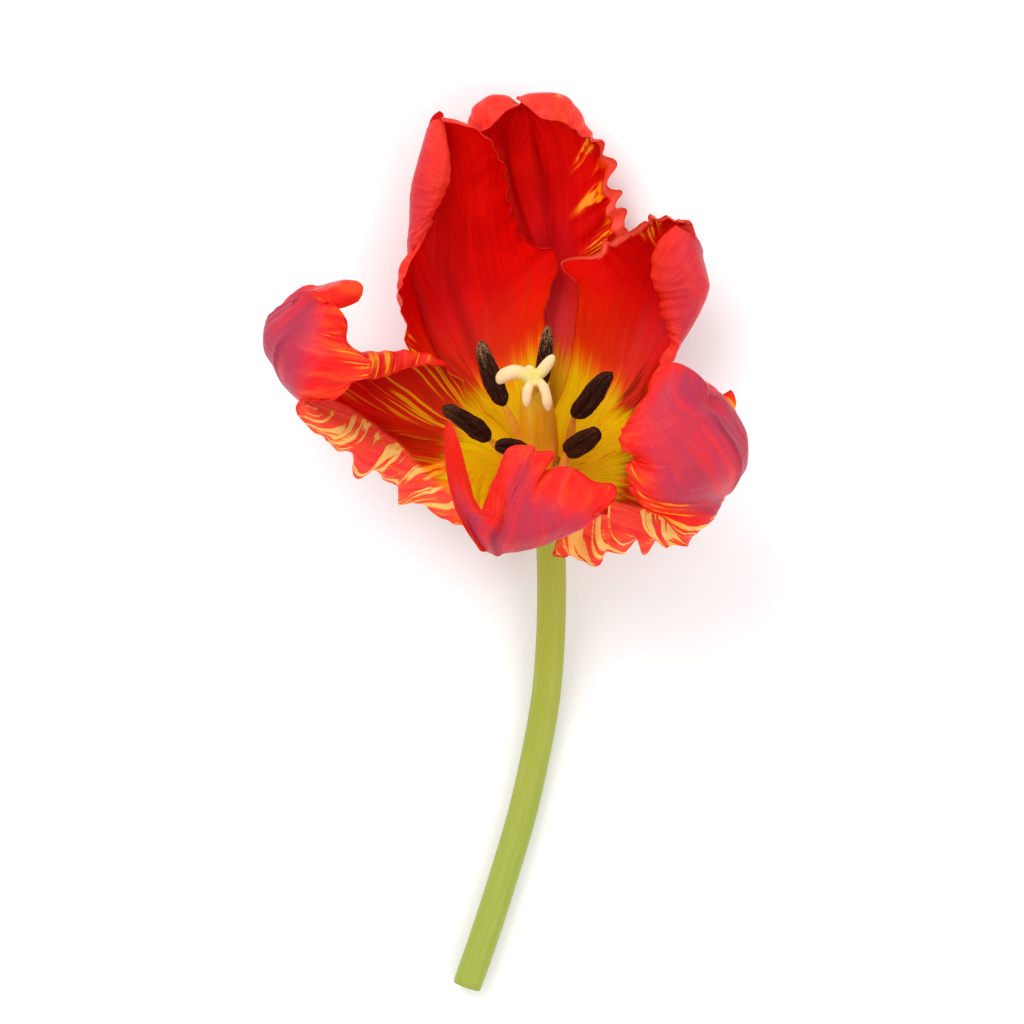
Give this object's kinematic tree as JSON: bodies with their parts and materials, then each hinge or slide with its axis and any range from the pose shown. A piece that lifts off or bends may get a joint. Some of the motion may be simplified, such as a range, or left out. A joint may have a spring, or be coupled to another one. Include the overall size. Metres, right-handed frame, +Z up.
{
  "type": "parrot tulip",
  "caption": "Cut parrot tulip lying on its side: a wide-open bloom of ruffled red petals with yellow flames, dark stamens and a pale stigma on a curved green stem.",
  "frame": {"origin": "middle of the flower's footprint, on the surface that it lies on", "axes": "+Y runs from the cut end of the stem to the bloom, +X is to the right seen from above with the bloom at the top, +Z is up from the surface"},
  "size_m": [0.0958, 0.1822, 0.0667],
  "materials": {
    "petal": "satin",
    "stem": "satin",
    "pistil": "satin",
    "filament": "satin",
    "anther": "matte"
  },
  "bodies": {
    "root": {"stem": "stem", "pistil": "pistil", "petal_upper": "petal", "petal_upper_left": "petal", "petal_upper_right": "petal", "petal_left": "petal", "petal_right": "petal", "petal_front": "petal", "anther_upper_left": "anther", "anther_upper": "anther", "anther_upper_right": "anther", "anther_right": "anther", "anther_front": "anther", "anther_left": "anther", "filament_upper_left": "filament", "filament_upper": "filament", "filament_upper_right": "filament", "filament_right": "filament", "filament_front": "filament", "filament_left": "filament"}
  },
  "joints": []
}
